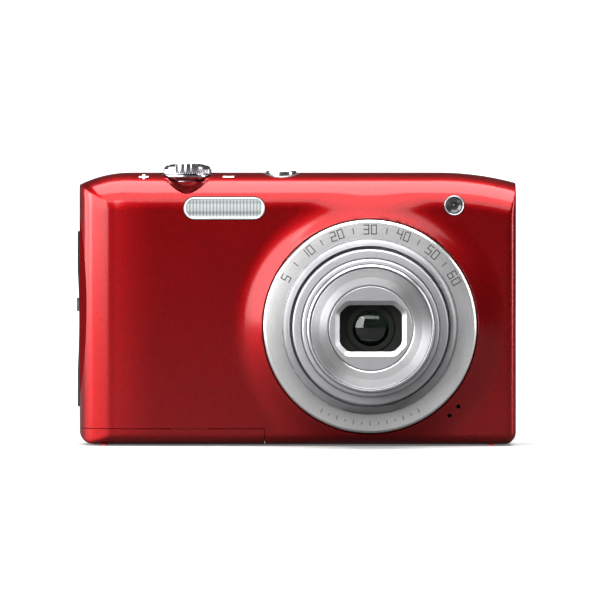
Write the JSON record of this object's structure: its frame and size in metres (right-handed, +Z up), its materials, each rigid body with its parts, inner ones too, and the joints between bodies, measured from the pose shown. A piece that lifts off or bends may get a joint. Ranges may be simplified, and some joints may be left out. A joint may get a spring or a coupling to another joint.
{
  "type": "compact digital camera",
  "caption": "Slim pocket digital camera with a telescoping zoom lens, flash, rear screen, zoom lever and sprung keys, standing on two low feet.",
  "frame": {"origin": "middle of the bounding box at rest, on the surface the feet stand on", "axes": "+X to the right seen from the front, -Y out of the lens, +Z up"},
  "size_m": [0.0944, 0.0374, 0.0608],
  "materials": {
    "red_shell": "metallic red lacquer, satin gloss",
    "silver_trim": "fine circular brushing with polished bevels",
    "barrel_grey": "satin grey anodised",
    "chrome": "polished plating",
    "black_gloss": "glossy black moulded plastic",
    "black_matte": "fine-grained black moulded plastic",
    "clear": "clear ribbed window",
    "coated_glass": "coated optical glass with a green cast",
    "screen": "dark glossy screen window",
    "steel": "stamped bright steel",
    "board": "green circuit board",
    "sensor": "sensor under cover glass",
    "reflector": "bright reflector foil",
    "pack_grey": "dark grey battery sleeve",
    "card_blue": "dark blue card shell",
    "foot_red": "moulded foot"
  },
  "bodies": {
    "camera_body": {"front_cover": "red_shell", "rear_cover": "red_shell", "top_plate": "red_shell", "lens_ring": "silver_trim", "strap_bar": "chrome", "side_panel": "black_gloss", "lamp_lens": "black_gloss", "lamp_bezel": "silver_trim", "usb_connector": "steel", "base_foot": "foot_red", "tripod_socket": "steel", "flash_window": "clear", "flash_reflector": "reflector", "flash_tube": "clear", "flash_capacitor": "black_matte", "microphone": "steel", "lcd_window": "screen", "lcd_panel": "steel", "chassis": "steel", "main_board": "board", "battery": "pack_grey", "battery_case": "black_matte", "memory_card": "card_blue", "card_socket": "steel", "fixed_barrel": "black_matte", "guide_rods": "steel", "image_sensor": "sensor", "sensor_board": "board", "zoom_motor": "steel", "focus_motor": "steel", "case_screws": "steel"},
    "drive_ring": {"drive_ring": "black_matte"},
    "outer_barrel": {"outer_barrel": "barrel_grey"},
    "middle_barrel": {"middle_barrel": "barrel_grey"},
    "inner_barrel": {"inner_barrel": "barrel_grey", "front_ring": "silver_trim", "barrier_frame": "silver_trim", "front_group_holder": "black_matte", "front_lens": "coated_glass"},
    "upper_blade": {"upper_blade": "black_matte"},
    "lower_blade": {"lower_blade": "black_matte"},
    "shutter_group": {"shutter_unit": "black_matte", "second_lens": "coated_glass"},
    "focus_group": {"focus_holder": "black_matte", "focus_lens": "coated_glass"},
    "shutter_button": {"shutter_button": "chrome"},
    "zoom_lever": {"zoom_lever": "chrome"},
    "power_button": {"power_button": "chrome"},
    "playback_button": {"playback_button": "black_gloss"},
    "display_button": {"display_button": "black_gloss"},
    "menu_button": {"menu_button": "black_gloss"},
    "mode_switch": {"mode_switch": "black_gloss"},
    "selector_plate": {"selector_plate": "black_matte"},
    "selector_ring": {"selector_ring": "chrome"},
    "set_button": {"set_button": "black_gloss"},
    "door_frame": {"door_frame": "steel"},
    "battery_door": {"battery_door": "red_shell", "door_foot": "foot_red"},
    "connector_cover": {"connector_cover": "black_matte"},
    "battery_latch": {"battery_latch": "pack_grey"}
  },
  "joints": [
    {"name": "lens_extend", "type": "slide", "parent": "camera_body", "child": "outer_barrel", "axis": [0, -1, 0], "range_m": [-0.0082, 0.001]},
    {"name": "middle_extend", "type": "slide", "parent": "outer_barrel", "child": "middle_barrel", "axis": [0, -1, 0], "range_m": [-0.005, 0.00061]},
    {"name": "inner_extend", "type": "slide", "parent": "middle_barrel", "child": "inner_barrel", "axis": [0, -1, 0], "range_m": [-0.0043, 0.00052]},
    {"name": "drive_turn", "type": "hinge", "parent": "camera_body", "child": "drive_ring", "pos_m": [0.01588, 0.0082, 0.02568], "axis": [0, 1, 0], "range_deg": [-71.5, 8.8]},
    {"name": "shutter_group_move", "type": "slide", "parent": "camera_body", "child": "shutter_group", "axis": [0, -1, 0], "range_m": [-0.0031, 0.00038]},
    {"name": "focus_move", "type": "slide", "parent": "camera_body", "child": "focus_group", "axis": [0, -1, 0], "range_m": [-0.0005, 0.0005]},
    {"name": "cover_upper", "type": "slide", "parent": "inner_barrel", "child": "upper_blade", "axis": [0, 0, -1], "range_m": [0, 0.00526]},
    {"name": "cover_lower", "type": "slide", "parent": "inner_barrel", "child": "lower_blade", "axis": [0, 0, 1], "range_m": [0, 0.00526]},
    {"name": "shutter_press", "type": "slide", "parent": "camera_body", "child": "shutter_button", "axis": [0, 0, -1], "range_m": [0, 0.0009], "stiffness_N_per_m": 600},
    {"name": "zoom_turn", "type": "hinge", "parent": "camera_body", "child": "zoom_lever", "pos_m": [-0.02337, 0.009, 0.05835], "axis": [0, 0, 1], "range_deg": [-18, 18], "stiffness_Nm_per_rad": 0.03},
    {"name": "power_press", "type": "slide", "parent": "camera_body", "child": "power_button", "axis": [0, 0, -1], "range_m": [0, 0.0004], "stiffness_N_per_m": 600},
    {"name": "playback_press", "type": "slide", "parent": "camera_body", "child": "playback_button", "axis": [0, -1, 0], "range_m": [0, 0.0004], "stiffness_N_per_m": 600},
    {"name": "display_press", "type": "slide", "parent": "camera_body", "child": "display_button", "axis": [0, -1, 0], "range_m": [0, 0.0004], "stiffness_N_per_m": 600},
    {"name": "menu_press", "type": "slide", "parent": "camera_body", "child": "menu_button", "axis": [0, -1, 0], "range_m": [0, 0.0004], "stiffness_N_per_m": 600},
    {"name": "set_press", "type": "slide", "parent": "camera_body", "child": "set_button", "axis": [0, -1, 0], "range_m": [0, 0.0004], "stiffness_N_per_m": 600},
    {"name": "mode_slide", "type": "slide", "parent": "camera_body", "child": "mode_switch", "axis": [1, 0, 0], "range_m": [-0.002, 0.002]},
    {"name": "selector_rock_up_down", "type": "hinge", "parent": "camera_body", "child": "selector_plate", "pos_m": [-0.03068, 0.01585, 0.02735], "axis": [1, 0, 0], "range_deg": [-2.5, 2.5], "stiffness_Nm_per_rad": 0.2},
    {"name": "selector_rock_left_right", "type": "hinge", "parent": "selector_plate", "child": "selector_ring", "pos_m": [-0.03068, 0.01585, 0.02735], "axis": [0, 0, 1], "range_deg": [-2.5, 2.5], "stiffness_Nm_per_rad": 0.2},
    {"name": "door_swing", "type": "hinge", "parent": "camera_body", "child": "door_frame", "pos_m": [-0.02567, 0.0162, 0.0013], "axis": [1, 0, 0], "range_deg": [0, 85]},
    {"name": "door_slide", "type": "slide", "parent": "door_frame", "child": "battery_door", "axis": [-1, 0, 0], "range_m": [0, 0.0025]},
    {"name": "connector_swing", "type": "hinge", "parent": "camera_body", "child": "connector_cover", "pos_m": [-0.04652, 0.01355, 0.03985], "axis": [0, 0, -1], "range_deg": [0, 95]},
    {"name": "latch_slide", "type": "slide", "parent": "camera_body", "child": "battery_latch", "axis": [0, -1, 0], "range_m": [0, 0.0009], "stiffness_N_per_m": 200}
  ],
  "couplings": [
    {"joint": "middle_extend", "follows": "lens_extend", "ratio": 0.60976},
    {"joint": "inner_extend", "follows": "lens_extend", "ratio": 0.52439},
    {"joint": "drive_turn", "follows": "lens_extend", "rad_per_m": 151.8},
    {"joint": "shutter_group_move", "follows": "lens_extend", "ratio": 0.37805},
    {"joint": "cover_lower", "follows": "cover_upper", "ratio": 1}
  ]
}
